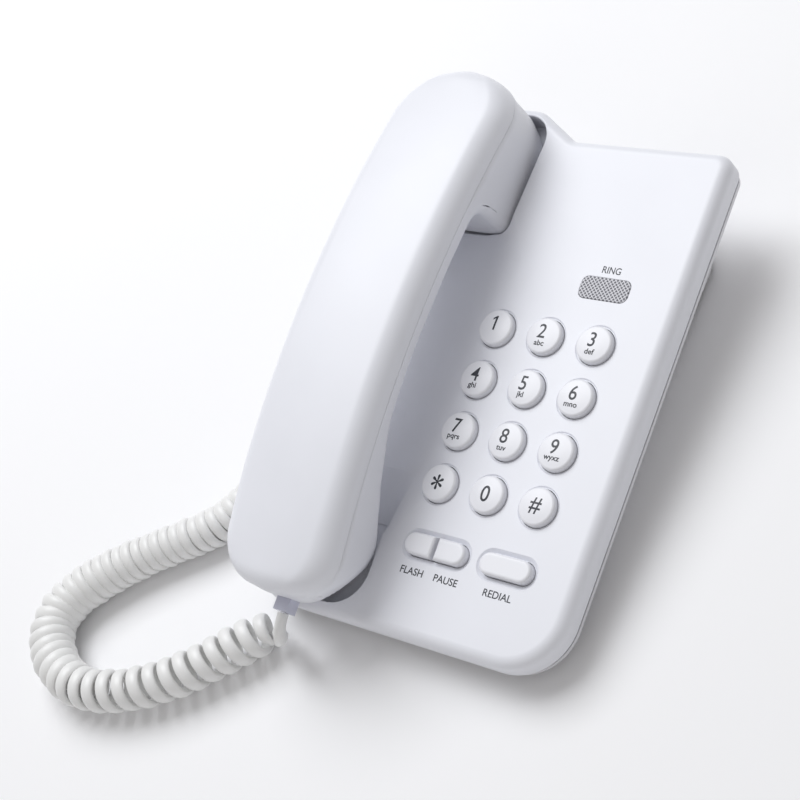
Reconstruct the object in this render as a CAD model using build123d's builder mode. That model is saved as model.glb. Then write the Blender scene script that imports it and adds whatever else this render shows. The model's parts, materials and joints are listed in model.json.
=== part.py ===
from build123d import *
import os
from math import cos, pi, radians, sin, tan

# Corded desk telephone. X runs to the right, Y to the back, Z up, and the feet stand on Z = 0.
# Most parts are drawn on the sloping panel: x to the right, y up the slope, z out of the panel.

os.makedirs("parts", exist_ok=True)

# ---- where the sloping panel stands --------------------------------------------------------
SLOPE = 8.0                    # tilt of the panel towards the user, degrees
KEYPAD_X = 22.5                # centre of the keypad, on the panel's surface
KEYPAD_Y = -15.9
KEYPAD_Z = 28.4

# ---- base housings -------------------------------------------------------------------------
WALL = 2.2                     # moulded wall of the base
SEAM_DEPTH = 9.5               # panel surface down to the seam between the housings
BAND_DEPTH = 4.0               # visible band of the lower housing
SLAB = SEAM_DEPTH + BAND_DEPTH
BAND_INSET = 0.5               # the lower housing sits this far inside the upper one
BAND_TAPER = 9.0
PANEL_EDGE = 4.0               # rounding between panel and side walls
BASE_LEFT, BASE_RIGHT = -90.0, 45.0
BASE_FRONT, BASE_BACK, LOBE_BACK = -83.0, 105.4, 116.4

# ---- flat-bottomed plinth under the slab -----------------------------------------------------
PLINTH_Z = 2.0
PLINTH_WIDTH = 107.0
PLINTH_FRONT, PLINTH_BACK = -79.0, 75.7
PLINTH_CORNER = 12.0
FOOT_RADIUS, FOOT_HEIGHT = 5.5, 3.0
FOOT_RECESS = 1.0
KEYHOLE_SPACING = 83.0         # usual wall-plate spacing
KEYHOLE_HALF_WIDTH, KEYHOLE_LENGTH, KEYHOLE_ENTRY = 2.25, 14.0, 4.25

# ---- keypad ----------------------------------------------------------------------------------
KEY_PITCH, ROW_PITCH = 20.0, 19.5
KEYS_X, KEYS_Y = -0.9, 0.5     # middle of the block of round keys
KEY_RADIUS = 6.75
KEY_GAP = 0.3                  # between a key and its hole
KEY_RISE = 2.2                 # edge of a key's top above the panel
KEY_CROWN = 0.45               # extra height in its middle
KEY_EDGE = 1.1
FLANGE_LIP = 0.9
FLANGE_TOP, FLANGE_BOTTOM = -3.0, -4.0
STEM_RADIUS, STEM_BOTTOM = 3.0, -6.0
FUNCTION_Y = -51.0             # row of the long keys
FUNCTION_HEIGHT = 7.8
PAIR_X, PAIR_LENGTH, PAIR_SPLIT = -13.3, 24.8, 0.7
REDIAL_X, REDIAL_LENGTH = 15.4, 20.2
DISH_MARGIN, DISH_DEPTH, DISH_SLANT = 1.9, 1.2, 1.4

# ---- ring lamp --------------------------------------------------------------------------------
LENS_X, LENS_Y = 14.8, 50.3
LENS_LENGTH, LENS_HEIGHT, LENS_CORNER = 19.4, 8.4, 2.8
LENS_GAP = 0.1
LENS_LIP = 1.2

# ---- cradle and handset ------------------------------------------------------------------------
HANDSET_X = -57.5              # centre line of the handset, on the panel
HANDSET_HALF = 25.0
HANDSET_FRONT, HANDSET_BACK = -82.5, 118.0
FRONT_CORNER, BACK_CORNER = 16.0, 21.0
ARCH_RADIUS = 400.0            # parting line between the handset's shells, seen from the side
ARCH_PEAK_Y, ARCH_PEAK_Z = 10.0, 29.5
OUTER_RISE = 8.5               # parting line up to the top of the handset
OUTER_EDGE = 5.0
HANDSET_WALL = 2.0
EAR_FLOOR, MOUTH_FLOOR = -9.2, -9.0
EAR_CUP_BOTTOM, MOUTH_CUP_BOTTOM = -8.8, -8.6
LIFT_GAP = 0.3                 # hook plunger to handset

# ---- cords ---------------------------------------------------------------------------------------
WIRE = 3.8                     # diameter of the straight tails
COIL = 15.6                    # outer diameter of the curly cord
JACK_Y, JACK_Z = -14.0, -6.75  # handset cord's jack in the left side wall

PANEL = Plane(
    origin=(KEYPAD_X, KEYPAD_Y, KEYPAD_Z),
    x_dir=(1, 0, 0),
    z_dir=(0, -sin(radians(SLOPE)), cos(radians(SLOPE))),
)
OUT = Axis(PANEL.origin, PANEL.z_dir)


def side_plane(x, y=0.0):
    """Plane along the slope at panel x: its own x runs up the slope from y, its own y out of the panel."""
    origin = PANEL.from_local_coords(Vector(x, y, 0))
    return Plane(origin=origin, x_dir=PANEL.y_dir, z_dir=PANEL.x_dir)


def cross_plane(y):
    """Plane across the panel at panel y, facing the front: its own x is to the right, its own y out."""
    origin = PANEL.from_local_coords(Vector(0, y, 0))
    return Plane(origin=origin, x_dir=PANEL.x_dir, z_dir=-PANEL.y_dir)


def outline(points, radii, inset=0.0):
    """Closed outline with rounded corners on the current sketch, moved inwards by inset."""
    with BuildLine() as edge:
        FilletPolyline(*points, radius=radii, close=True)
    make_face(edge.edges())
    if inset:
        offset(amount=-inset)


def base_plan(inset=0.0):
    """Plan of the base: a long slab with a lobe at the back left, behind the earpiece."""
    points = [
        (42.4, BASE_FRONT), (BASE_RIGHT, BASE_BACK), (-19.0, BASE_BACK),
        (-37.0, LOBE_BACK), (BASE_LEFT, LOBE_BACK), (BASE_LEFT, BASE_FRONT),
    ]
    outline(points, [21.0, 6.0, 4.0, 10.0, 18.0, 22.0], inset)


def ear_well_plan(inset=0.0):
    """Plan of the well for the ear cup, wider at the back."""
    points = [
        (HANDSET_X - 25.0, 66.5), (HANDSET_X + 25.0, 66.5),
        (HANDSET_X + 28.0, 113.0), (HANDSET_X - 28.0, 113.0),
    ]
    outline(points, [4.0, 4.0, 10.0, 10.0], inset)


def mouth_well_plan(inset=0.0):
    """Plan of the well for the mouth cup, with round front corners."""
    points = [
        (HANDSET_X - 21.3, -78.9), (HANDSET_X + 21.3, -78.9),
        (HANDSET_X + 20.3, -31.0), (HANDSET_X - 20.3, -31.0),
    ]
    outline(points, [14.0, 14.0, 6.0, 6.0], inset)


def trough_section(skin=0.0):
    """Section of the trough between the wells: a soft slope on the panel's side, steeper at the left."""
    points = [
        (-13.0, 0.5), (-28.5, -0.4), (-45.0, -6.0), (-65.0, -6.0), (-72.0, 1.0), (-72.0, 6.0), (-13.0, 6.0),
    ]
    outline(points, [0, 40.0, 30.0, 6.0, 0, 0, 0], -skin)


def trough_start_section():
    """Section where the trough comes out of the ear well, no wider than the well."""
    points = [
        (-31.0, 0.5), (-33.2, -0.2), (-45.0, -6.0), (-65.0, -6.0), (-72.0, 1.0), (-72.0, 6.0), (-31.0, 6.0),
    ]
    outline(points, [0, 3.0, 12.0, 6.0, 0, 0, 0])


def trough_end_section():
    """Section where the trough has run out into the mouth well: a floor between steep walls."""
    points = [
        (-30.0, 0.5), (-36.9, -0.3), (-38.6, MOUTH_FLOOR), (-75.0, MOUTH_FLOOR),
        (-78.3, 1.0), (-78.3, 6.0), (-30.0, 6.0),
    ]
    outline(points, [0, 1.0, 4.0, 6.0, 0, 0, 0])


def key_places():
    """Names and centres of the twelve round keys, row by row from the back."""
    names = ["1", "2", "3", "4", "5", "6", "7", "8", "9", "star", "0", "hash"]
    return [
        (f"key_{name}", KEYS_X + KEY_PITCH * (index % 3 - 1), KEYS_Y + ROW_PITCH * (1.5 - index // 3))
        for index, name in enumerate(names)
    ]


def handset_plan(inset=0.0):
    """Plan of the handset: straight sides, well rounded ends."""
    left, right = HANDSET_X - HANDSET_HALF, HANDSET_X + HANDSET_HALF
    points = [(left, HANDSET_FRONT), (right, HANDSET_FRONT), (right, HANDSET_BACK), (left, HANDSET_BACK)]
    outline(points, [FRONT_CORNER, FRONT_CORNER, BACK_CORNER, BACK_CORNER], inset)


def arch_z(y, rise=0.0):
    """Height over the panel of the handset's arched parting line, or of the arc rise above it."""
    radius = ARCH_RADIUS + rise
    return ARCH_PEAK_Z - ARCH_RADIUS + (radius**2 - (y - ARCH_PEAK_Y) ** 2) ** 0.5


def arch_band(low, high):
    """Side view of the band between two arcs parallel to the parting line."""
    ends = (HANDSET_FRONT - 8.0, HANDSET_BACK + 8.0)
    with BuildLine() as band:
        ThreePointArc(*[(y, arch_z(y, low)) for y in (ends[0], ARCH_PEAK_Y, ends[1])])
        ThreePointArc(*[(y, arch_z(y, high)) for y in (ends[0], ARCH_PEAK_Y, ends[1])])
        for end in ends:
            Line((end, arch_z(end, low)), (end, arch_z(end, high)))
    make_face(band.edges())


# Side view of the grip's underside, panel y and height over the panel, from front to back.
UNDERSIDE_FRONT = [(-92.0, 12.0), (-80.0, 9.0), (-49.0, 9.0)]
UNDERSIDE_ARC = [(-49.0, 9.0), (10.0, 24.5), (55.0, 19.5)]
UNDERSIDE_BACK = [(55.0, 19.5), (65.0, 8.0), (110.0, 8.0), (121.0, 10.0)]


def grip_side(lift, top):
    """Side view of the inner shell's grip, from its underside raised by lift up to an arc over it."""
    first, last = UNDERSIDE_FRONT[0], UNDERSIDE_BACK[-1]
    with BuildLine() as side:
        Polyline(*[(y, z + lift) for y, z in UNDERSIDE_FRONT])
        ThreePointArc(*[(y, z + lift) for y, z in UNDERSIDE_ARC])
        Polyline(*[(y, z + lift) for y, z in UNDERSIDE_BACK])
        Line((last[0], last[1] + lift), (last[0], arch_z(last[0], top)))
        ThreePointArc(*[(y, arch_z(y, top)) for y in (last[0], ARCH_PEAK_Y, first[0])])
        Line((first[0], arch_z(first[0], top)), (first[0], first[1] + lift))
    make_face(side.edges())


def cord_tube(points, diameter):
    """Round tube along straight runs joined by arcs, each as large as its two runs allow."""
    radii = []
    for before, corner, after in zip(points, points[1:], points[2:]):
        into, out = Vector(*corner) - Vector(*before), Vector(*after) - Vector(*corner)
        half_turn = radians(into.get_angle(out) / 2)
        radii.append(0.45 * min(into.length, out.length) / tan(half_turn))
    with BuildLine() as route:
        FilletPolyline(*points, radius=radii)
    with BuildSketch(Plane(origin=route.line @ 0, z_dir=route.line % 0)) as section:
        Circle(diameter / 2)
    sweep(section.sketch, path=route.line)
    length = sum(edge.length for edge in route.edges())
    print(f"length {length:.1f}, section times length {pi * (diameter / 2) ** 2 * length:.0f}, arc radii")
    print([round(radius, 1) for radius in radii])


def pan_head_screw(head_radius, head_height, shank_radius, length):
    """Screw at the current locations, its head's underside there and its shank pointing up."""
    Cylinder(head_radius, head_height, align=(Align.CENTER, Align.CENTER, Align.MAX))
    Cylinder(shank_radius, length, align=(Align.CENTER, Align.CENTER, Align.MIN))


def save(builder, name):
    """Label a finished piece and write its STEP file."""
    builder.part.label = name
    export_step(builder.part, f"parts/{name}.step")


# ======== base =====================================================================================

HOUSING_SCREWS = [(32.0, -70.0), (37.0, 96.0), (-21.0, 96.0), (-83.0, 40.0), (-28.0, -73.0)]
BOSS_RADIUS, PILOT_RADIUS, SCREW_HOLE = 3.2, 1.25, 1.5
SCREW_HEAD_RADIUS, SCREW_HEAD_HEIGHT, SCREW_RECESS = 2.6, 1.2, 1.4
SCREW_LENGTH = 7.5
FLOOR_TOP = -SLAB + WALL       # inside of the slab's floor
WELL_FLOOR_GAP = 0.1           # under the wells' floors
WELL_WALL = 1.6
BOARD_POSTS = [(-24.0, 53.0), (30.0, 46.0), (-20.0, -61.0), (24.0, -61.0)]
POST_RADIUS = 2.2
KEY_BOARD_TOP, BOARD_THICKNESS = -SEAM_DEPTH, 1.6
MAT_THICKNESS, DOME_RADIUS, DOME_HEIGHT = 1.0, 4.0, 0.6
HOOK_Y = 80.0
HOOK_RADIUS, HOOK_HOLE = 2.0, 2.4
JACK_WIDTH, JACK_HEIGHT, JACK_DEPTH, JACK_FIT = 10.4, 8.9, 13.6, 0.1
PLUG_WIDTH, PLUG_HEIGHT = 7.7, 6.6
SOCKET_WIDTH, SOCKET_HEIGHT, SOCKET_DEPTH = 8.0, 6.9, 11.5

TROUGH_BACK, TROUGH_LENGTH = 75.0, 115.0
STRAIGHT_BACK, STRAIGHT_FRONT = 56.0, -26.0
TROUGH_FRONT = -50.0           # where it has become the mouth well
ABOVE = 20.0                   # cuts that open upwards reach this high
TALL = 60.0                    # more than the height of the base or of the handset

# Space inside the slab; what is left out of it stays solid: wells, trough, screw bosses, posts.
with BuildPart() as slab_cavity:
    with BuildSketch(PANEL.offset(-SLAB)):
        base_plan(inset=WALL)
    extrude(amount=SLAB - WALL)
    with BuildSketch(PANEL.offset(-SLAB)):
        ear_well_plan(inset=-WELL_WALL)
        mouth_well_plan(inset=-WELL_WALL)
    extrude(amount=SLAB, mode=Mode.SUBTRACT)
    with BuildSketch(cross_plane(TROUGH_BACK)):
        trough_section(skin=WALL)
    extrude(amount=TROUGH_LENGTH, mode=Mode.SUBTRACT)
    with BuildSketch(PANEL.offset(-SLAB)):
        with Locations(*HOUSING_SCREWS):
            Circle(BOSS_RADIUS)
        with Locations(*BOARD_POSTS):
            Circle(POST_RADIUS)
    extrude(amount=SLAB, mode=Mode.SUBTRACT)

EAR_RIM = (-87.0, -27.0, 66.0, 114.0)      # left, right, front, back of what holds all of the well's rim


def on_rim(edge, bounds):
    """Whether an edge lies within bounds on the panel and above the wells' floors."""
    left, right, front, back = bounds
    places = [PANEL.to_local_coords(edge @ part) for part in (0.0, 0.25, 0.5, 0.75, 1.0)]
    return all(left < p.X < right and front < p.Y < back and p.Z > -8.0 for p in places)


with BuildPart() as upper_housing:
    with BuildSketch(PANEL):
        base_plan()
    extrude(amount=-SEAM_DEPTH)
    fillet(faces().sort_by(OUT)[-1].edges(), PANEL_EDGE)
    chamfer(faces().sort_by(OUT)[0].outer_wire().edges(), 0.3)
    # bosses, posts and the outsides of the wells reach below the seam
    with BuildSketch(PANEL.offset(FLOOR_TOP + WELL_FLOOR_GAP)):
        ear_well_plan(inset=-WELL_WALL)
        mouth_well_plan(inset=-WELL_WALL)
        with Locations(*HOUSING_SCREWS):
            Circle(BOSS_RADIUS)
    extrude(amount=SLAB - WALL - PANEL_EDGE)
    # trough and wells
    with BuildSketch(cross_plane(TROUGH_BACK)):
        trough_start_section()
    with BuildSketch(cross_plane(STRAIGHT_BACK)):
        trough_section()
    loft(mode=Mode.SUBTRACT)
    with BuildSketch(cross_plane(STRAIGHT_BACK)):
        trough_section()
    extrude(amount=STRAIGHT_BACK - STRAIGHT_FRONT, mode=Mode.SUBTRACT)
    with BuildSketch(cross_plane(STRAIGHT_FRONT)):
        trough_section()
    with BuildSketch(cross_plane(TROUGH_FRONT)):
        trough_end_section()
    loft(mode=Mode.SUBTRACT)
    with BuildSketch(PANEL.offset(EAR_FLOOR)):
        ear_well_plan()
    extrude(amount=ABOVE, mode=Mode.SUBTRACT)
    rims = edges().filter_by(lambda edge: on_rim(edge, EAR_RIM))
    fillet(rims, 0.6)
    with BuildSketch(PANEL.offset(MOUTH_FLOOR)):
        mouth_well_plan()
        with Locations((HANDSET_X, TROUGH_FRONT + 4.0)):
            Rectangle(2 * HANDSET_HALF, ABOVE, align=(Align.CENTER, Align.MIN), mode=Mode.SUBTRACT)
    extrude(amount=ABOVE, mode=Mode.SUBTRACT)
    add(slab_cavity.part, mode=Mode.SUBTRACT)
    # shallow dishes round the keys
    with BuildSketch(PANEL):
        with Locations(*[(x, y) for _, x, y in key_places()]):
            Circle(KEY_RADIUS + KEY_GAP + 0.7)
    extrude(amount=-0.4, taper=45.0, mode=Mode.SUBTRACT)
    for x, length in ((PAIR_X, PAIR_LENGTH), (REDIAL_X, REDIAL_LENGTH)):
        for depth, margin in ((0.0, DISH_MARGIN), (DISH_DEPTH, DISH_MARGIN - DISH_SLANT)):
            with BuildSketch(PANEL.offset(-depth)):
                with Locations((x, FUNCTION_Y)):
                    SlotOverall(length + 2 * margin, FUNCTION_HEIGHT + 2 * margin)
        loft(mode=Mode.SUBTRACT)
    # openings for keys, lamp window and hook plunger
    with BuildSketch(PANEL.offset(-SLAB)):
        with Locations(*[(x, y) for _, x, y in key_places()]):
            Circle(KEY_RADIUS + KEY_GAP)
        for x, length in ((PAIR_X, PAIR_LENGTH), (REDIAL_X, REDIAL_LENGTH)):
            with Locations((x, FUNCTION_Y)):
                SlotOverall(length + 2 * KEY_GAP, FUNCTION_HEIGHT + 2 * KEY_GAP)
        with Locations((LENS_X, LENS_Y)):
            RectangleRounded(LENS_LENGTH + 2 * LENS_GAP, LENS_HEIGHT + 2 * LENS_GAP, LENS_CORNER)
        with Locations((HANDSET_X, HOOK_Y)):
            Circle(HOOK_HOLE)
    extrude(amount=2 * SLAB, mode=Mode.SUBTRACT)
    # pilot holes of the housing screws, and the upper part of the cord jack's window
    with BuildSketch(PANEL.offset(-SLAB)):
        with Locations(*HOUSING_SCREWS):
            Circle(PILOT_RADIUS)
    extrude(amount=SLAB - WALL - 1.0, mode=Mode.SUBTRACT)
    with BuildSketch(side_plane(BASE_LEFT - 1.0)):
        with Locations((JACK_Y, JACK_Z)):
            Rectangle(JACK_WIDTH + 2 * JACK_FIT, JACK_HEIGHT + 2 * JACK_FIT)
    extrude(amount=WALL + 2.0, mode=Mode.SUBTRACT)
save(upper_housing, "upper_housing")

with BuildPart() as plinth_block:
    with BuildSketch(Plane.XY.offset(PLINTH_Z)):
        with Locations((0, (PLINTH_FRONT + PLINTH_BACK) / 2)):
            RectangleRounded(PLINTH_WIDTH, PLINTH_BACK - PLINTH_FRONT, PLINTH_CORNER)
    extrude(amount=TALL)
    split(bisect_by=PANEL.offset(-SLAB + WALL / 2), keep=Keep.BOTTOM)

LINE_X, LINE_Z = 10.5, 15.6
LINE_WIDTH, LINE_HEIGHT, LINE_DEPTH = 14.0, 12.0, 16.0
SWITCHES = {"tone_switch_knob": 25.0, "ringer_switch_knob": 37.0}
SWITCH_Z, SWITCH_TRAVEL = 13.4, 3.0
KNOB_WIDTH, KNOB_HEIGHT, KNOB_PROUD, KNOB_GAP = 3.6, 3.4, 1.2, 0.35
RINGER_X, RINGER_Y, RINGER_RADIUS, RINGER_HEIGHT = -28.0, 8.0, 17.0, 8.0
MAIN_BOARD = (3.0, 47.0, -20.0, 70.0)     # left, right, front, back
MAIN_BOARD_Z = 8.0
MAIN_POSTS = [(7.0, -16.0), (43.0, -16.0), (7.0, 50.0), (43.0, 50.0)]
PLINTH_FLOOR = PLINTH_Z + WALL
FEET = [(x, y) for x in (-42.0, 42.0) for y in (-67.0, 64.0)]

with BuildPart() as lower_housing:
    with BuildSketch(PANEL.offset(-SEAM_DEPTH)):
        base_plan(inset=BAND_INSET)
    extrude(amount=-BAND_DEPTH, taper=BAND_TAPER)
    add(plinth_block.part)
    with BuildSketch(PANEL.offset(FLOOR_TOP)):
        base_plan(inset=BAND_INSET + WALL)
        ear_well_plan(inset=-WELL_WALL - WELL_FLOOR_GAP)
        mouth_well_plan(inset=-WELL_WALL - WELL_FLOOR_GAP)
    extrude(amount=SLAB, mode=Mode.SUBTRACT)
    with BuildSketch(Plane.XY.offset(PLINTH_FLOOR)):
        with Locations((0, (PLINTH_FRONT + PLINTH_BACK) / 2)):
            RectangleRounded(
                PLINTH_WIDTH - 2 * WALL, PLINTH_BACK - PLINTH_FRONT - 2 * WALL, PLINTH_CORNER - WALL
            )
    extrude(amount=TALL, mode=Mode.SUBTRACT)
    # board posts
    with BuildSketch(Plane.XY.offset(PLINTH_Z)):
        with Locations(*MAIN_POSTS):
            Circle(POST_RADIUS)
    extrude(amount=MAIN_BOARD_Z - PLINTH_Z)
    # foot recesses, keyholes for wall mounting and sound holes under the ringer
    with BuildSketch(Plane.XY.offset(PLINTH_Z)):
        with Locations(*FEET):
            Circle(FOOT_RADIUS)
    extrude(amount=FOOT_RECESS, mode=Mode.SUBTRACT)
    with BuildSketch(Plane.XY):
        with Locations((0, -KEYHOLE_SPACING / 2), (0, KEYHOLE_SPACING / 2)):
            SlotOverall(KEYHOLE_LENGTH, 2 * KEYHOLE_HALF_WIDTH, rotation=90)
        with Locations(*[(0, side * KEYHOLE_SPACING / 2 - 8.0) for side in (-1, 1)]):
            Circle(KEYHOLE_ENTRY)
        with Locations((RINGER_X, RINGER_Y)):
            for ring, count in ((0.0, 1), (5.0, 6), (10.0, 12)):
                with PolarLocations(ring, count):
                    Circle(1.2)
    extrude(amount=PLINTH_FLOOR + 0.5, mode=Mode.SUBTRACT)
    # housing screws, entered from below
    with BuildSketch(PANEL.offset(-SLAB)):
        with Locations(*HOUSING_SCREWS):
            Circle(SCREW_HEAD_RADIUS + 0.2)
    extrude(amount=SCREW_RECESS, mode=Mode.SUBTRACT)
    with BuildSketch(PANEL.offset(-SLAB)):
        with Locations(*HOUSING_SCREWS):
            Circle(SCREW_HOLE)
    extrude(amount=WALL + 0.5, mode=Mode.SUBTRACT)
    # windows: cord jack in the left wall, line jack and slide switches in the plinth's back wall
    with BuildSketch(side_plane(BASE_LEFT - 1.0)):
        with Locations((JACK_Y, JACK_Z)):
            Rectangle(JACK_WIDTH + 2 * JACK_FIT, JACK_HEIGHT + 2 * JACK_FIT)
    extrude(amount=WALL + 2.5, mode=Mode.SUBTRACT)
    with BuildSketch(Plane.XZ.offset(-PLINTH_BACK - 1.0)):
        with Locations((LINE_X, LINE_Z)):
            Rectangle(LINE_WIDTH + 2 * JACK_FIT, LINE_HEIGHT + 2 * JACK_FIT)
        with Locations(*[(x, SWITCH_Z) for x in SWITCHES.values()]):
            Rectangle(KNOB_WIDTH + SWITCH_TRAVEL + 2 * KNOB_GAP, KNOB_HEIGHT + 2 * KNOB_GAP)
    extrude(amount=WALL + 2.0, mode=Mode.SUBTRACT)
save(lower_housing, "lower_housing")

with BuildPart() as rubber_feet:
    with BuildSketch():
        with Locations(*FEET):
            Circle(FOOT_RADIUS)
    extrude(amount=FOOT_HEIGHT)
    chamfer(faces().filter_by(Axis.Z).group_by(Axis.Z)[0].edges(), 0.6)
save(rubber_feet, "rubber_feet")

with BuildPart(PANEL.offset(-SLAB + SCREW_RECESS)) as housing_screws:
    with Locations(*HOUSING_SCREWS):
        pan_head_screw(SCREW_HEAD_RADIUS, SCREW_HEAD_HEIGHT, PILOT_RADIUS, SCREW_LENGTH)
save(housing_screws, "housing_screws")

# ======== inside the base ===========================================================================

KEY_BOARD = (-28.0, 33.0, -64.0, 57.0)    # left, right, front, back on the panel
KEY_MAT = (-27.5, 28.5, -57.5, 38.5)


def sheet(bounds):
    """Rectangle between left, right, front and back on the current sketch."""
    left, right, front, back = bounds
    with Locations(((left + right) / 2, (front + back) / 2)):
        Rectangle(right - left, back - front)


FUNCTION_DOMES = [(PAIR_X - PAIR_LENGTH / 4, FUNCTION_Y), (PAIR_X + PAIR_LENGTH / 4, FUNCTION_Y)]
FUNCTION_DOMES.append((REDIAL_X, FUNCTION_Y))

with BuildPart() as keypad_board:
    with BuildSketch(PANEL.offset(KEY_BOARD_TOP)):
        sheet(KEY_BOARD)
    extrude(amount=-BOARD_THICKNESS)
save(keypad_board, "keypad_board")

with BuildPart() as keypad_mat:
    with BuildSketch(PANEL.offset(KEY_BOARD_TOP)):
        sheet(KEY_MAT)
    extrude(amount=MAT_THICKNESS)
    with BuildSketch(PANEL.offset(KEY_BOARD_TOP + MAT_THICKNESS)):
        with Locations(*[(x, y) for _, x, y in key_places()], *FUNCTION_DOMES):
            Circle(DOME_RADIUS)
    extrude(amount=DOME_HEIGHT, taper=30.0)
save(keypad_mat, "keypad_mat")

with BuildPart() as ring_lens:
    with BuildSketch(PANEL.offset(-WALL - LENS_LIP)):
        with Locations((LENS_X, LENS_Y)):
            RectangleRounded(LENS_LENGTH + 3.0, LENS_HEIGHT + 3.0, LENS_CORNER)
    extrude(amount=LENS_LIP)
    with BuildSketch(PANEL.offset(-WALL)):
        with Locations((LENS_X, LENS_Y)):
            RectangleRounded(LENS_LENGTH, LENS_HEIGHT, LENS_CORNER)
    extrude(amount=WALL + 0.3)
    chamfer(faces().sort_by(OUT)[-1].edges(), 0.25)
save(ring_lens, "ring_lens")

with BuildPart() as ring_led:
    with BuildSketch(PANEL.offset(KEY_BOARD_TOP)):
        with Locations((LENS_X, LENS_Y)):
            Circle(2.5)
    extrude(amount=5.0)
    fillet(faces().sort_by(OUT)[-1].edges(), 2.0)
save(ring_led, "ring_led")

with BuildPart() as main_board:
    with BuildSketch(Plane.XY.offset(MAIN_BOARD_Z)):
        sheet(MAIN_BOARD)
    extrude(amount=BOARD_THICKNESS)
save(main_board, "main_board")

BOARD_SURFACE = MAIN_BOARD_Z + BOARD_THICKNESS

with BuildPart() as board_components:
    with BuildSketch(Plane.XY.offset(BOARD_SURFACE)):
        with Locations((20.0, 8.0)):
            Rectangle(9.0, 22.0)
        with Locations((20.0, 34.0)):
            Rectangle(7.0, 10.0)
    extrude(amount=3.2)
    with BuildSketch(Plane.XY.offset(BOARD_SURFACE)):
        with Locations((36.0, -6.0), (36.0, 8.0), (34.0, 30.0)):
            Circle(3.2)
    extrude(amount=7.5)
save(board_components, "board_components")

with BuildPart() as line_jack:
    with BuildSketch(Plane.XZ.offset(-PLINTH_BACK)):
        with Locations((LINE_X, LINE_Z)):
            Rectangle(LINE_WIDTH, LINE_HEIGHT)
    extrude(amount=LINE_DEPTH)
    with BuildSketch(Plane.XZ.offset(-PLINTH_BACK)):
        with Locations((LINE_X, LINE_Z)):
            Rectangle(10.0, 7.0)
        with Locations((LINE_X, LINE_Z - 4.0)):
            Rectangle(4.0, 2.5)
    extrude(amount=LINE_DEPTH - 2.0, mode=Mode.SUBTRACT)
save(line_jack, "line_jack")

with BuildPart() as slide_switches:
    with BuildSketch(Plane.XY.offset(BOARD_SURFACE)):
        with Locations(*[(x, PLINTH_BACK - WALL - 4.2) for x in SWITCHES.values()]):
            Rectangle(9.0, 7.0)
    extrude(amount=7.4)
    with BuildSketch(Plane.XZ.offset(-PLINTH_BACK)):
        with Locations(*[(x, SWITCH_Z) for x in SWITCHES.values()]):
            Rectangle(KNOB_WIDTH + SWITCH_TRAVEL + 2 * KNOB_GAP, KNOB_HEIGHT + 2 * KNOB_GAP)
    extrude(amount=WALL + 5.0, mode=Mode.SUBTRACT)
save(slide_switches, "slide_switches")

for knob_name, knob_x in SWITCHES.items():
    with BuildPart() as knob:
        with BuildSketch(Plane.XZ.offset(-PLINTH_BACK - KNOB_PROUD)):
            with Locations((knob_x - SWITCH_TRAVEL / 2, SWITCH_Z)):
                Rectangle(KNOB_WIDTH, KNOB_HEIGHT)
        extrude(amount=WALL + 4.0 + KNOB_PROUD)
        with BuildSketch(Plane.XZ.offset(-PLINTH_BACK - KNOB_PROUD)):
            with Locations(*[(knob_x - SWITCH_TRAVEL / 2 + rib, SWITCH_Z) for rib in (-0.9, 0.0, 0.9)]):
                Rectangle(0.4, KNOB_HEIGHT)
        extrude(amount=0.4, mode=Mode.SUBTRACT)
    save(knob, knob_name)

with BuildPart() as ringer:
    with BuildSketch(Plane.XY.offset(PLINTH_FLOOR)):
        with Locations((RINGER_X, RINGER_Y)):
            Circle(RINGER_RADIUS)
    extrude(amount=RINGER_HEIGHT)
    with BuildSketch(Plane.XY.offset(PLINTH_FLOOR)):
        with Locations((RINGER_X, RINGER_Y)):
            Circle(RINGER_RADIUS - 2.5)
    extrude(amount=1.5, mode=Mode.SUBTRACT)
    fillet(faces().sort_by(Axis.Z)[-1].edges(), 1.0)
save(ringer, "ringer")

with BuildPart() as ballast_weight:
    with BuildSketch(Plane.XY.offset(PLINTH_FLOOR)):
        with Locations((-28.0, -43.0)):
            RectangleRounded(40.0, 36.0, 3.0)
    extrude(amount=3.0)
save(ballast_weight, "ballast_weight")

with BuildPart() as hook_switch:
    with BuildSketch(PANEL.offset(EAR_FLOOR - WALL)):
        with Locations((HANDSET_X, HOOK_Y)):
            Rectangle(12.0, 13.0)
            Circle(HOOK_RADIUS + 0.05, mode=Mode.SUBTRACT)
    extrude(amount=-9.0)
save(hook_switch, "hook_switch")

with BuildPart() as hook_plunger:
    with BuildSketch(PANEL.offset(EAR_CUP_BOTTOM - LIFT_GAP)):
        with Locations((HANDSET_X, HOOK_Y)):
            Circle(HOOK_RADIUS)
    extrude(amount=-8.5)
    fillet(faces().sort_by(OUT)[-1].edges(), 0.8)
save(hook_plunger, "hook_plunger")

with BuildPart() as base_cord_jack:
    with BuildSketch(side_plane(BASE_LEFT)):
        with Locations((JACK_Y, JACK_Z)):
            Rectangle(JACK_WIDTH, JACK_HEIGHT)
    extrude(amount=JACK_DEPTH)
    with BuildSketch(side_plane(BASE_LEFT)):
        with Locations((JACK_Y, JACK_Z)):
            Rectangle(SOCKET_WIDTH, SOCKET_HEIGHT)
    extrude(amount=SOCKET_DEPTH, mode=Mode.SUBTRACT)
save(base_cord_jack, "base_cord_jack")

# ======== keys ======================================================================================

def crown_z(distance):
    """Height of a round key's spherical top at a distance from the key's axis."""
    rim = KEY_RADIUS - KEY_EDGE
    sphere = (rim**2 + KEY_CROWN**2) / (2 * KEY_CROWN)
    return KEY_RISE + KEY_CROWN - sphere + (sphere**2 - distance**2) ** 0.5


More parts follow.
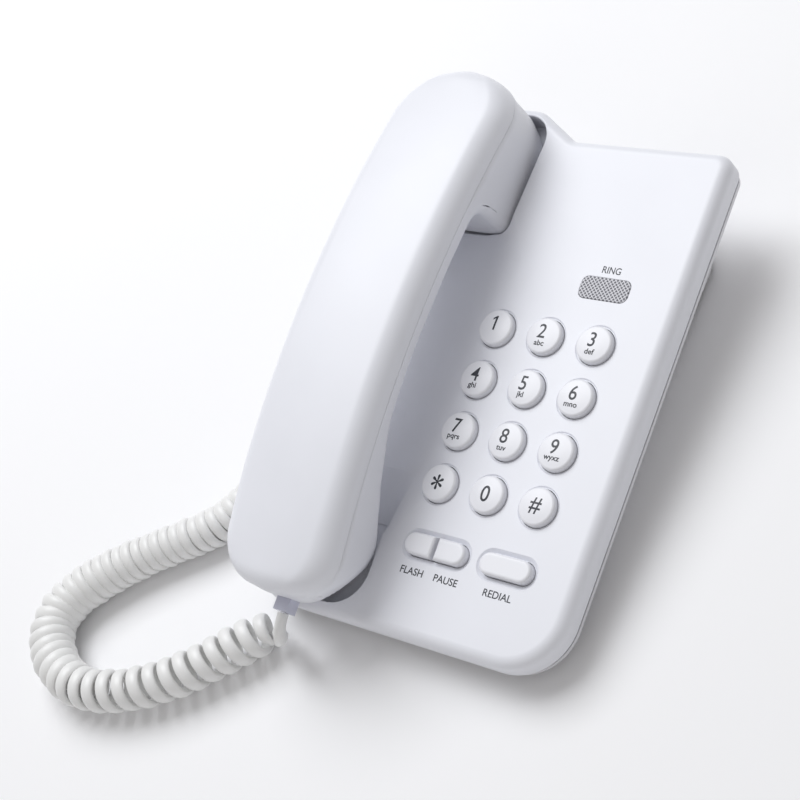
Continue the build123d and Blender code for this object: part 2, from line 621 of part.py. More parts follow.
for key_name, key_x, key_y in key_places():
    with BuildPart() as key:
        # one turned profile: stem, flange under the panel, cap with a rounded edge and a crowned top
        with BuildSketch(side_plane(key_x, key_y)):
            with BuildLine():
                Polyline(
                    (0, KEY_RISE + KEY_CROWN), (0, STEM_BOTTOM), (STEM_RADIUS, STEM_BOTTOM),
                    (STEM_RADIUS, FLANGE_BOTTOM), (KEY_RADIUS + FLANGE_LIP, FLANGE_BOTTOM),
                    (KEY_RADIUS + FLANGE_LIP, FLANGE_TOP), (KEY_RADIUS, FLANGE_TOP),
                    (KEY_RADIUS, KEY_RISE - KEY_EDGE),
                )
                CenterArc((KEY_RADIUS - KEY_EDGE, KEY_RISE - KEY_EDGE), KEY_EDGE, 0, 90)
                ThreePointArc(*[(x, crown_z(x)) for x in (KEY_RADIUS - KEY_EDGE, KEY_RADIUS / 2, 0)])
            make_face()
        revolve(axis=Axis(PANEL.from_local_coords(Vector(key_x, key_y, 0)), PANEL.z_dir))
    save(key, key_name)


def long_key(name, whole_x, whole_length, left, right):
    """The part between left and right of a stadium-shaped key; its stem is under that part's middle."""
    with BuildPart() as key:
        for bottom, top, grow in ((FLANGE_BOTTOM, FLANGE_TOP, FLANGE_LIP), (FLANGE_TOP, KEY_RISE, 0.0)):
            with BuildSketch(PANEL.offset(bottom)):
                with Locations((whole_x, FUNCTION_Y)):
                    SlotOverall(whole_length + 2 * grow, FUNCTION_HEIGHT + 2 * grow)
                with Locations(((left + right) / 2, FUNCTION_Y)):
                    Rectangle(right - left, 3 * FUNCTION_HEIGHT, mode=Mode.INTERSECT)
            extrude(amount=top - bottom)
        fillet(faces().sort_by(OUT)[-1].edges(), KEY_EDGE)
        with BuildSketch(PANEL.offset(STEM_BOTTOM)):
            with Locations(((left + right) / 2, FUNCTION_Y)):
                Circle(STEM_RADIUS)
        extrude(amount=FLANGE_BOTTOM - STEM_BOTTOM)
    save(key, name)


PAIR_REACH, REDIAL_REACH = PAIR_LENGTH / 2 + FLANGE_LIP, REDIAL_LENGTH / 2 + FLANGE_LIP
long_key("key_flash", PAIR_X, PAIR_LENGTH, PAIR_X - PAIR_REACH, PAIR_X - PAIR_SPLIT)
long_key("key_pause", PAIR_X, PAIR_LENGTH, PAIR_X + PAIR_SPLIT, PAIR_X + PAIR_REACH)
long_key("key_redial", REDIAL_X, REDIAL_LENGTH, REDIAL_X - REDIAL_REACH, REDIAL_X + REDIAL_REACH)

# ======== handset ===================================================================================

EAR_CUP_TOP, MOUTH_CUP_TOP = 8.5, 9.5
EAR_TAPER, MOUTH_TAPER = 3.0, 18.0
CAPSULE_Y, CAPSULE_RADIUS, CAPSULE_HEIGHT = 93.0, 16.0, 8.0
MICROPHONE_Y, MICROPHONE_RADIUS, MICROPHONE_HEIGHT = -64.5, 4.85, 6.5
PLUG_Z = 9.8                   # height of the cord's plug in the front end of the handset
HANDSET_JACK_DEPTH = 12.0
HANDSET_SCREWS = {(HANDSET_X, 44.0): 24.2, (HANDSET_X, -33.0): 18.6}   # place: height of the head's seat


def ear_cup_plan(inset=0.0):
    """Plan of the ear cup where it meets the grip."""
    points = [
        (HANDSET_X - 24.2, 67.4), (HANDSET_X + 24.2, 67.4),
        (HANDSET_X + 24.9, 112.6), (HANDSET_X - 24.9, 112.6),
    ]
    outline(points, [5.0, 5.0, 14.0, 14.0], inset)


def mouth_cup_plan(inset=0.0):
    """Plan of the mouth cup where it meets the grip."""
    points = [
        (HANDSET_X - 23.5, -79.8), (HANDSET_X + 23.5, -79.8),
        (HANDSET_X + 23.5, -48.0), (HANDSET_X - 23.5, -48.0),
    ]
    outline(points, [13.0, 13.0, 6.0, 6.0], inset)


with BuildPart() as outer_hollow:
    with BuildSketch(PANEL):
        handset_plan(inset=HANDSET_WALL)
    extrude(amount=TALL)
    with BuildSketch(side_plane(HANDSET_X)):
        arch_band(-2.0, OUTER_RISE - HANDSET_WALL)
    extrude(amount=HANDSET_HALF, both=True, mode=Mode.INTERSECT)

with BuildPart() as handset_outer_shell:
    with BuildSketch(PANEL):
        handset_plan()
    extrude(amount=TALL)
    with BuildSketch(side_plane(HANDSET_X)):
        arch_band(0.0, OUTER_RISE)
    extrude(amount=2 * HANDSET_HALF, both=True, mode=Mode.INTERSECT)
    fillet(faces().sort_by(OUT)[-1].edges(), OUTER_EDGE)
    add(outer_hollow.part, mode=Mode.SUBTRACT)
    for x, y in HANDSET_SCREWS:
        with BuildSketch(PANEL.offset(arch_z(y) + 0.3)):
            with Locations((x, y)):
                Circle(BOSS_RADIUS)
                Circle(PILOT_RADIUS, mode=Mode.SUBTRACT)
        extrude(amount=OUTER_RISE - 1.2)
save(handset_outer_shell, "handset_outer_shell")

with BuildPart() as grip_hollow:
    with BuildSketch(PANEL):
        handset_plan(inset=HANDSET_WALL)
    extrude(amount=TALL)
    with BuildSketch(side_plane(HANDSET_X)):
        grip_side(lift=HANDSET_WALL, top=5.0)
    extrude(amount=2 * HANDSET_HALF, both=True, mode=Mode.INTERSECT)

with BuildPart() as handset_inner_shell:
    with BuildSketch(PANEL):
        handset_plan()
    extrude(amount=TALL)
    with BuildSketch(side_plane(HANDSET_X)):
        grip_side(lift=0.0, top=0.0)
    extrude(amount=2 * HANDSET_HALF, both=True, mode=Mode.INTERSECT)
    with BuildSketch(PANEL.offset(EAR_CUP_TOP)):
        ear_cup_plan()
    extrude(amount=EAR_CUP_BOTTOM - EAR_CUP_TOP, taper=EAR_TAPER)
    with BuildSketch(PANEL.offset(MOUTH_CUP_TOP)):
        mouth_cup_plan()
    extrude(amount=MOUTH_CUP_BOTTOM - MOUTH_CUP_TOP, taper=MOUTH_TAPER)
    add(grip_hollow.part, mode=Mode.SUBTRACT)
    with BuildSketch(PANEL.offset(EAR_CUP_TOP + HANDSET_WALL)):
        ear_cup_plan(inset=HANDSET_WALL)
    extrude(amount=EAR_CUP_BOTTOM - EAR_CUP_TOP, taper=EAR_TAPER, mode=Mode.SUBTRACT)
    with BuildSketch(PANEL.offset(MOUTH_CUP_TOP + HANDSET_WALL)):
        mouth_cup_plan(inset=HANDSET_WALL)
    extrude(amount=MOUTH_CUP_BOTTOM - MOUTH_CUP_TOP, taper=MOUTH_TAPER, mode=Mode.SUBTRACT)
    # screw posts, with the heads sunk in from below
    for (x, y), seat in HANDSET_SCREWS.items():
        with BuildSketch(PANEL.offset(seat - HANDSET_WALL)):
            with Locations((x, y)):
                Circle(BOSS_RADIUS + 1.0)
        extrude(amount=arch_z(y) - 0.3 - seat + HANDSET_WALL)
        for start, depth, radius in ((0.0, seat, SCREW_HEAD_RADIUS + 0.2), (seat - 1.0, ABOVE, SCREW_HOLE)):
            with BuildSketch(PANEL.offset(start)):
                with Locations((x, y)):
                    Circle(radius)
            extrude(amount=depth, mode=Mode.SUBTRACT)
    # sound holes
    with BuildSketch(PANEL.offset(EAR_CUP_BOTTOM - 1.0)):
        with Locations((HANDSET_X, CAPSULE_Y)):
            for ring, count in ((0.0, 1), (4.0, 6), (8.0, 12)):
                with PolarLocations(ring, count):
                    Circle(0.9)
        with Locations((HANDSET_X, MICROPHONE_Y)):
            with GridLocations(4.0, 3.0, 3, 2):
                Circle(0.7)
    extrude(amount=HANDSET_WALL + 2.0, mode=Mode.SUBTRACT)
    # window of the cord jack in the front end
    with BuildSketch(cross_plane(HANDSET_FRONT + HANDSET_JACK_DEPTH + 3.0)):
        with Locations((HANDSET_X, PLUG_Z)):
            Rectangle(JACK_WIDTH + 2 * JACK_FIT, JACK_HEIGHT + 2 * JACK_FIT)
    extrude(amount=ABOVE, mode=Mode.SUBTRACT)
save(handset_inner_shell, "handset_inner_shell")

with BuildPart() as receiver_capsule:
    with BuildSketch(PANEL.offset(EAR_CUP_BOTTOM + HANDSET_WALL)):
        with Locations((HANDSET_X, CAPSULE_Y)):
            Circle(CAPSULE_RADIUS)
    extrude(amount=CAPSULE_HEIGHT)
    fillet(faces().sort_by(OUT)[-1].edges(), 1.5)
save(receiver_capsule, "receiver_capsule")

with BuildPart() as microphone_capsule:
    with BuildSketch(PANEL.offset(MOUTH_CUP_BOTTOM + HANDSET_WALL)):
        with Locations((HANDSET_X, MICROPHONE_Y)):
            Circle(MICROPHONE_RADIUS)
    extrude(amount=MICROPHONE_HEIGHT)
save(microphone_capsule, "microphone_capsule")

with BuildPart() as microphone_boot:
    with BuildSketch(PANEL.offset(MOUTH_CUP_BOTTOM + HANDSET_WALL)):
        with Locations((HANDSET_X, MICROPHONE_Y)):
            Circle(MICROPHONE_RADIUS + 1.4)
            Circle(MICROPHONE_RADIUS, mode=Mode.SUBTRACT)
    extrude(amount=MICROPHONE_HEIGHT - 1.0)
save(microphone_boot, "microphone_boot")

with BuildPart() as handset_weight:
    with BuildSketch(PANEL.offset(ARCH_PEAK_Z - 1.5)):
        with Locations((HANDSET_X, ARCH_PEAK_Y)):
            RectangleRounded(24.0, 46.0, 2.0)
    extrude(amount=6.0)
save(handset_weight, "handset_weight")

with BuildPart() as handset_jack:
    with BuildSketch(cross_plane(HANDSET_FRONT + HANDSET_JACK_DEPTH + 1.5)):
        with Locations((HANDSET_X, PLUG_Z)):
            Rectangle(JACK_WIDTH, JACK_HEIGHT)
    extrude(amount=HANDSET_JACK_DEPTH)
    with BuildSketch(cross_plane(HANDSET_FRONT + HANDSET_JACK_DEPTH)):
        with Locations((HANDSET_X, PLUG_Z)):
            Rectangle(SOCKET_WIDTH, SOCKET_HEIGHT)
    extrude(amount=HANDSET_JACK_DEPTH, mode=Mode.SUBTRACT)
save(handset_jack, "handset_jack")

with BuildPart() as handset_screws:
    for (x, y), seat in HANDSET_SCREWS.items():
        with BuildSketch(PANEL.offset(seat)):
            with Locations((x, y)):
                Circle(SCREW_HEAD_RADIUS)
        extrude(amount=-SCREW_HEAD_HEIGHT)
        with BuildSketch(PANEL.offset(seat)):
            with Locations((x, y)):
                Circle(PILOT_RADIUS)
        extrude(amount=arch_z(y) + 4.0 - seat)
save(handset_screws, "handset_screws")

# ======== handset cord ================================================================================

PLUG_INSERT, PLUG_PROUD = 9.0, 6.5        # plug inside its socket, and plug standing out of it
BOOT_WIDTH, BOOT_HEIGHT = 6.0, 5.4
CORD_GAP = 0.3                            # between the handset's plug and the tail, which stays put

with BuildPart() as handset_plug:
    with BuildSketch(cross_plane(HANDSET_FRONT + 1.5 + PLUG_INSERT)):
        with Locations((HANDSET_X, PLUG_Z)):
            Rectangle(PLUG_WIDTH, PLUG_HEIGHT)
    extrude(amount=PLUG_INSERT)
    with BuildSketch(cross_plane(HANDSET_FRONT + 1.5)):
        with Locations((HANDSET_X, PLUG_Z)):
            Rectangle(BOOT_WIDTH, BOOT_HEIGHT)
    extrude(amount=PLUG_PROUD)
save(handset_plug, "handset_plug")

with BuildPart() as base_plug:
    with BuildSketch(side_plane(BASE_LEFT, JACK_Y)):
        with Locations((0, JACK_Z)):
            Rectangle(PLUG_WIDTH, PLUG_HEIGHT)
    extrude(amount=PLUG_INSERT)
    with BuildSketch(side_plane(BASE_LEFT, JACK_Y)):
        with Locations((0, JACK_Z)):
            Rectangle(BOOT_WIDTH, BOOT_HEIGHT)
    extrude(amount=-PLUG_PROUD)
save(base_plug, "base_plug")

# Routes, X Y Z. The curly cord lies on the table in a loop in front of the telephone and to its left.
COIL_Z = COIL / 2 + 0.1
COIL_START, COIL_END = (-52, -108, COIL_Z), (-85, -46, COIL_Z)
COIL_ROUTE = [
    COIL_START,
    (-65, -121, COIL_Z), (-80, -135, COIL_Z), (-100, -147, COIL_Z), (-120, -152, COIL_Z),
    (-138, -146, COIL_Z), (-148, -134, COIL_Z), (-147, -121, COIL_Z), (-135, -106, COIL_Z),
    (-115, -90, COIL_Z), (-95, -76, COIL_Z), (-86, -61, COIL_Z),
    COIL_END,
]
front_exit = PANEL.from_local_coords(Vector(HANDSET_X, HANDSET_FRONT + 1.5 - PLUG_PROUD - CORD_GAP, PLUG_Z))
left_exit = PANEL.from_local_coords(Vector(BASE_LEFT - PLUG_PROUD, JACK_Y, JACK_Z))
FRONT_TAIL_ROUTE = [
    tuple(front_exit),
    (-35, -108, 25), (-37, -112, 19), (-40, -111, 13), (-45, -108, 9),
    COIL_START,
]
LEFT_TAIL_ROUTE = [
    tuple(left_exit),
    (-78, -29, 20), (-82, -30, 18), (-84, -34, 13), (-85, -40, 9),
    COIL_END,
]
for tube_name, tube_route, tube_diameter in (
    ("curly_cord", COIL_ROUTE, COIL),
    ("front_tail", FRONT_TAIL_ROUTE, WIRE),
    ("left_tail", LEFT_TAIL_ROUTE, WIRE),
):
    with BuildPart() as tube:
        cord_tube(tube_route, tube_diameter)
    print(f"{tube_name}: volume {tube.part.volume:.0f}")
    save(tube, tube_name)
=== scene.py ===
import json
from math import atan2, cos, pi, radians, sin, sqrt

import bmesh
import bpy
from mathutils import Matrix, Vector


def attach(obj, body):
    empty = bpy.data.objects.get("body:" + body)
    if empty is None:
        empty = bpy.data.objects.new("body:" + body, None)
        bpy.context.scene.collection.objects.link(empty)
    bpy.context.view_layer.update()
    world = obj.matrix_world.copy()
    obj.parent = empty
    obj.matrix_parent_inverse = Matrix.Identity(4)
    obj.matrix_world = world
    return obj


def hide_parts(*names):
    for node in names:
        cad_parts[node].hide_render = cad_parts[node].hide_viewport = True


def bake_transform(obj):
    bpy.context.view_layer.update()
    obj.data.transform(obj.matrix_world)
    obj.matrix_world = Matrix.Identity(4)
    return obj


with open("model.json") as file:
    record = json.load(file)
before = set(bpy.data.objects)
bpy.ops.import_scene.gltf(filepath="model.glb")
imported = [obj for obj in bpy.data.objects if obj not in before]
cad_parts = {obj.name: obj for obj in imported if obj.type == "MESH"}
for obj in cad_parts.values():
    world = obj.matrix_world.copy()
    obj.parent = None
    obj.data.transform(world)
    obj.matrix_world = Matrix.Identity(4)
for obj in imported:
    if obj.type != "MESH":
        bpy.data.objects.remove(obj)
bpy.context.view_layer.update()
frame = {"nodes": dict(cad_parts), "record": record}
NODES = frame["nodes"]

# ---- the sloping panel: x to the right, y up the slope, z out of it, in millimetres ---------
SLOPE = radians(8.0)
PANEL_ORIGIN = Vector((22.5, -15.9, 28.4))


def on_panel(x, y, z=0.0):
    """Point of the panel's frame, given in millimetres, as a point of the scene in metres."""
    return 0.001 * Vector((
        PANEL_ORIGIN.x + x,
        PANEL_ORIGIN.y + y * cos(SLOPE) - z * sin(SLOPE),
        PANEL_ORIGIN.z + y * sin(SLOPE) + z * cos(SLOPE),
    ))


# ======== camera ================================================================================
VIEW_TARGET = Vector((-0.042, -0.011, 0.010))
VIEW_DISTANCE = 0.630
VIEW_AZIMUTH, VIEW_ELEVATION, VIEW_ROLL = radians(-27.5), radians(48.2), radians(-43.1)
VIEW_LENS = 76.5

camera_data = bpy.data.cameras.new("camera")
camera_data.lens = VIEW_LENS
camera_data.sensor_width = 36.0
camera_data.clip_start = 0.05
camera = bpy.data.objects.new("camera", camera_data)
bpy.context.collection.objects.link(camera)
backward = Vector((
    cos(VIEW_ELEVATION) * cos(VIEW_AZIMUTH), cos(VIEW_ELEVATION) * sin(VIEW_AZIMUTH), sin(VIEW_ELEVATION)
))
level = Vector((0.0, 0.0, 1.0)).cross(backward).normalized()
right = level * cos(VIEW_ROLL) + backward.cross(level) * sin(VIEW_ROLL)
up = backward.cross(right)
camera.matrix_world = Matrix.Translation(VIEW_TARGET + VIEW_DISTANCE * backward) @ Matrix((
    (right.x, up.x, backward.x, 0.0),
    (right.y, up.y, backward.y, 0.0),
    (right.z, up.z, backward.z, 0.0),
    (0.0, 0.0, 0.0, 1.0),
))
bpy.context.scene.camera = camera


def new_material(name, colour, roughness):
    """Principled material with a plain start: base colour and roughness."""
    material = bpy.data.materials.new(name)
    material.use_nodes = True
    shader = material.node_tree.nodes["Principled BSDF"]
    shader.inputs["Base Color"].default_value = (*colour, 1.0)
    shader.inputs["Roughness"].default_value = roughness
    return material, material.node_tree, shader


def noise(tree, scale, detail=3.0):
    """Noise texture in object space; scale is in features per metre."""
    coordinates = tree.nodes.new("ShaderNodeTexCoord")
    texture = tree.nodes.new("ShaderNodeTexNoise")
    texture.inputs["Scale"].default_value = scale
    texture.inputs["Detail"].default_value = detail
    tree.links.new(coordinates.outputs["Object"], texture.inputs["Vector"])
    return texture.outputs["Fac"]


def ramp(tree, value, low, high, first, last):
    """Colour ramp from first to last as value goes from low to high."""
    node = tree.nodes.new("ShaderNodeValToRGB")
    node.color_ramp.elements[0].position = low
    node.color_ramp.elements[1].position = high
    node.color_ramp.elements[0].color = (*first, 1.0)
    node.color_ramp.elements[1].color = (*last, 1.0)
    tree.links.new(value, node.inputs["Fac"])
    return node.outputs["Color"]


def rough_range(tree, value, shader, low, high):
    """Roughness between low and high."""
    node = tree.nodes.new("ShaderNodeMapRange")
    node.inputs["From Min"].default_value = 0.3
    node.inputs["From Max"].default_value = 0.7
    node.inputs["To Min"].default_value = low
    node.inputs["To Max"].default_value = high
    tree.links.new(value, node.inputs["Value"])
    tree.links.new(node.outputs["Result"], shader.inputs["Roughness"])


def bump(tree, shader, height, depth, strength=1.0):
    """Bump of the given depth in metres."""
    node = tree.nodes.new("ShaderNodeBump")
    node.inputs["Distance"].default_value = depth
    node.inputs["Strength"].default_value = strength
    tree.links.new(height, node.inputs["Height"])
    tree.links.new(node.outputs["Normal"], shader.inputs["Normal"])


def plastic(name, colour, roughness, grain=0.00001, grain_scale=2500.0, tint=0.985):
    """Moulded plastic: fine grain, faint unevenness of gloss and colour."""
    material, tree, shader = new_material(name, colour, roughness)
    fine = noise(tree, grain_scale, 2.0)
    broad = noise(tree, 45.0, 3.0)
    tree.links.new(
        ramp(tree, broad, 0.35, 0.65, tuple(c * tint for c in colour), colour), shader.inputs["Base Color"]
    )
    rough_range(tree, broad, shader, roughness - 0.04, roughness + 0.04)
    bump(tree, shader, fine, grain)
    shader.inputs["Specular IOR Level"].default_value = 0.5
    return material


MATERIALS = {
    "white_plastic": plastic("white_plastic", (0.82, 0.83, 0.88), 0.38),
    "base_plastic": plastic("base_plastic", (0.74, 0.74, 0.77), 0.50, 0.00003, 1200.0),
    "key_plastic": plastic("key_plastic", (0.84, 0.845, 0.885), 0.34),
    "lens_plastic": plastic("lens_plastic", (0.50, 0.50, 0.53), 0.25),
    "lamp_plastic": plastic("lamp_plastic", (0.35, 0.03, 0.02), 0.25),
    "cord_plastic": plastic("cord_plastic", (0.86, 0.86, 0.85), 0.36, 0.000005),
    "plug_plastic": plastic("plug_plastic", (0.62, 0.63, 0.74), 0.22),
    "jack_plastic": plastic("jack_plastic", (0.62, 0.60, 0.56), 0.45),
    "knob_plastic": plastic("knob_plastic", (0.05, 0.05, 0.055), 0.45),
    "component_plastic": plastic("component_plastic", (0.02, 0.02, 0.022), 0.5),
    "circuit_board": plastic("circuit_board", (0.03, 0.14, 0.05), 0.3),
    "dome_rubber": plastic("dome_rubber", (0.30, 0.30, 0.30), 0.7),
    "foot_rubber": plastic("foot_rubber", (0.10, 0.10, 0.11), 0.75, 0.00005, 900.0),
    "screw_steel": plastic("screw_steel", (0.55, 0.55, 0.56), 0.35),
    "ballast_iron": plastic("ballast_iron", (0.12, 0.12, 0.12), 0.7),
    "capsule_aluminium": plastic("capsule_aluminium", (0.60, 0.60, 0.61), 0.35),
}
LENS, lens_tree, lens_shader = new_material("lens_facets", (0.62, 0.62, 0.64), 0.22)
lens_place = lens_tree.nodes.new("ShaderNodeTexCoord")
lens_lines = []
for lens_angle in (45.0, -45.0):
    turned = lens_tree.nodes.new("ShaderNodeMapping")
    turned.inputs["Rotation"].default_value = (0.0, 0.0, radians(lens_angle))
    waves = lens_tree.nodes.new("ShaderNodeTexWave")
    waves.inputs["Scale"].default_value = 290.0
    waves.inputs["Distortion"].default_value = 0.0
    waves.inputs["Detail"].default_value = 0.0
    lens_tree.links.new(lens_place.outputs["Object"], turned.inputs["Vector"])
    lens_tree.links.new(turned.outputs["Vector"], waves.inputs["Vector"])
    lens_lines.append(waves.outputs["Fac"])
lens_cross = lens_tree.nodes.new("ShaderNodeMath")
lens_cross.operation = "MINIMUM"
for socket, line in zip(lens_cross.inputs, lens_lines):
    lens_tree.links.new(line, socket)
lens_tree.links.new(
    ramp(lens_tree, lens_cross.outputs["Value"], 0.05, 0.55, (0.66, 0.66, 0.70), (0.16, 0.16, 0.18)),
    lens_shader.inputs["Base Color"],
)
rough_range(lens_tree, noise(lens_tree, 300.0), lens_shader, 0.18, 0.28)
bump(lens_tree, lens_shader, lens_cross.outputs["Value"], 0.0002)
MATERIALS["lens_plastic"] = LENS
for metal in ("screw_steel", "ballast_iron", "capsule_aluminium"):
    MATERIALS[metal].node_tree.nodes["Principled BSDF"].inputs["Metallic"].default_value = 1.0

for subpart in frame["record"]["subparts"]:
    for material_slot in NODES[subpart["node"]].material_slots:
        material_slot.material = MATERIALS[subpart["material_slot"]]


for plug in ("handset_plug", "base_plug"):
    soft_edges = NODES[plug].modifiers.new("soft_edges", "BEVEL")
    soft_edges.width = 0.0005
    soft_edges.segments = 3
    soft_edges.limit_method = "ANGLE"
    soft_edges.angle_limit = radians(35.0)


def piece(name, vertices, faces, slot, smooth=True, material=None):
    """Mesh object with one material slot."""
    mesh = bpy.data.meshes.new(name)
    mesh.from_pydata(vertices, [], faces)
    mesh.validate()
    mesh.polygons.foreach_set("use_smooth", [smooth] * len(mesh.polygons))
    mesh.materials.append(material or MATERIALS[slot])
    made = bpy.data.objects.new(name, mesh)
    bpy.context.collection.objects.link(made)
    return made


# ======== cord ===================================================================================
PLUG_TIP = on_panel(-57.5, -82.5 + 1.5 - 6.5 - 0.3, 9.8)
BASE_TIP = on_panel(-90.0 - 6.5, -14.0, -6.75)
CORD_ROUTE = [
    tuple(1000 * PLUG_TIP),
    (-35, -108, 25), (-37, -112, 19), (-40, -111, 13), (-45, -108, 9),
    (-52, -108, 9), (-65, -121, 9), (-80, -135, 9), (-100, -147, 9.5), (-120, -152, 10), (-138, -146, 10),
    (-148, -134, 10), (-147, -121, 9.5), (-135, -106, 9), (-115, -90, 8.5), (-95, -76, 8), (-86, -61, 8),
    (-85, -46, 8),
    (-85, -40, 9), (-84, -34, 13), (-82, -30, 18), (-78, -29, 20),
    tuple(1000 * BASE_TIP),
]


def route_points(name, points):
    """Points along the NURBS spline that has the given control points, in metres."""
    curve = bpy.data.curves.new(name, "CURVE")
    curve.dimensions = "3D"
    curve.resolution_u = 32
    spline = curve.splines.new("NURBS")
    spline.points.add(len(points) - 1)
    for control, place in zip(spline.points, points):
        control.co = (*(0.001 * Vector(place)), 1.0)
    spline.order_u = 3
    spline.use_endpoint_u = True
    guide = bpy.data.objects.new(name, curve)
    bpy.context.collection.objects.link(guide)
    bpy.context.view_layer.update()
    mesh = bpy.data.meshes.new_from_object(guide.evaluated_get(bpy.context.evaluated_depsgraph_get()))
    line = [vertex.co.copy() for vertex in mesh.vertices]
    bpy.data.meshes.remove(mesh)
    bpy.data.objects.remove(guide)
    bpy.data.curves.remove(curve)
    return line


def even_steps(line, step):
    """The same line with points a fixed step apart, with its running length at each."""
    made, lengths, run, wanted = [line[0]], [0.0], 0.0, step
    for a, b in zip(line, line[1:]):
        span = (b - a).length
        while span > 0 and run + span >= wanted:
            made.append(a.lerp(b, (wanted - run) / span))
            lengths.append(wanted)
            wanted += step
        run += span
    return made, lengths


def smooth_step(low, high, value):
    """0 below low, 1 above high, smooth between."""
    part = min(1.0, max(0.0, (value - low) / (high - low)))
    return part * part * (3 - 2 * part)


def frames(line):
    """Tangent and two cross directions at each point of a line, turning as little as possible."""
    tangents = []
    for index in range(len(line)):
        ahead = line[min(index + 1, len(line) - 1)]
        behind = line[max(index - 1, 0)]
        tangents.append((ahead - behind).normalized())
    side = tangents[0].cross(Vector((0, 0, 1))).normalized()
    made = []
    for tangent in tangents:
        side = (side - tangent * side.dot(tangent)).normalized()
        made.append((tangent, side, tangent.cross(side)))
    return made


WIRE_WIDE, WIRE_THICK = 0.0052, 0.0030
STEP = 0.0001
centre, run_length = even_steps(route_points("cord_route", CORD_ROUTE), STEP)
total = run_length[-1]
FRONT_TAIL, LEFT_TAIL = 0.028, 0.026       # uncoiled lengths at the two ends


def pitch_at(length):
    """Spacing of the turns: open near the handset, closed towards the base."""
    return 0.0042 + 0.0004 * (1 - smooth_step(0.150, 0.185, length)) \
        + 0.0021 * (1 - smooth_step(0.095, 0.135, length))


def coil_radius(length):
    """Radius of the helix: widest round the loop's far end, narrowest where the turns are closed."""
    return 0.0066 + 0.0006 * smooth_step(0.10, 0.14, length) - 0.0011 * smooth_step(0.165, 0.205, length)


helix, across, phase = [], [], 0.0
for point, length, (tangent, side, rise) in zip(centre, run_length, frames(centre)):
    coiled = smooth_step(FRONT_TAIL - 0.004, FRONT_TAIL + 0.006, length)
    coiled *= 1 - smooth_step(total - LEFT_TAIL - 0.006, total - LEFT_TAIL + 0.004, length)
    if FRONT_TAIL - 0.004 < length < total - LEFT_TAIL + 0.004:
        phase += 2 * pi * STEP / pitch_at(length)
    outward = side * cos(phase) + rise * sin(phase)
    wander = 1 + 0.025 * sin(0.37 * phase + 0.8 * sin(0.11 * phase))
    helix.append(point + outward * coil_radius(length) * wander * coiled)
    across.append((tangent, outward, pitch_at(length), coiled))


def wire_mesh(name, line, section_frames, sides=12):
    """Oval wire along a helix; where the turns are closer than the wire is wide, it leans over."""
    vertices, faces = [], []
    for index, (place, (axis, outward, pitch, coiled)) in enumerate(zip(line, section_frames)):
        along = (line[min(index + 1, len(line) - 1)] - line[max(index - 1, 0)]).normalized()
        wide = axis * coiled + axis.cross(outward) * (1 - coiled)
        wide = (wide - along * wide.dot(along)).normalized()
        thick = along.cross(wide)
        squeeze = min(1.0, pitch / WIRE_WIDE)
        lean = sqrt(max(0.0, 1 - squeeze**2)) / max(1e-6, WIRE_WIDE / WIRE_THICK) * 1.15 * coiled
        turn = Matrix.Rotation(lean, 3, along)
        wide, thick = turn @ wide, turn @ thick
        for k in range(sides):
            angle = 2 * pi * k / sides
            along_wide, along_thick = WIRE_WIDE / 2 * cos(angle), WIRE_THICK / 2 * sin(angle)
            vertices.append(place + wide * along_wide + thick * along_thick)
    for ring in range(len(line) - 1):
        for k in range(sides):
            a, b = ring * sides + k, ring * sides + (k + 1) % sides
            faces.append((a, b, b + sides, a + sides))
    last = (len(line) - 1) * sides
    faces.append(tuple(reversed(range(sides))))
    faces.append(tuple(range(last, last + sides)))
    return piece(name, vertices, faces, "cord_plastic")


SKIP = 2                                   # every second point of the helix is enough for the mesh
cord_path = helix[::SKIP]
curly = wire_mesh("curly_wire", cord_path, across[::SKIP])
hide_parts("curly_cord", "front_tail", "left_tail")
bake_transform(curly)

# ======== handset =================================================================================
HANDSET_X = -57.5
FRONT_Y, BACK_Y = -82.5, 118.0
FRONT_CORNER, BACK_CORNER = 16.5, 21.0
SEAM_RADIUS, SEAM_PEAK_Y, SEAM_PEAK_Z = 400.0, 10.0, 29.5


def seam_z(y):
    """Height over the panel of the parting line between the two shells."""
    return SEAM_PEAK_Z - SEAM_RADIUS + sqrt(SEAM_RADIUS**2 - (y - SEAM_PEAK_Y) ** 2)


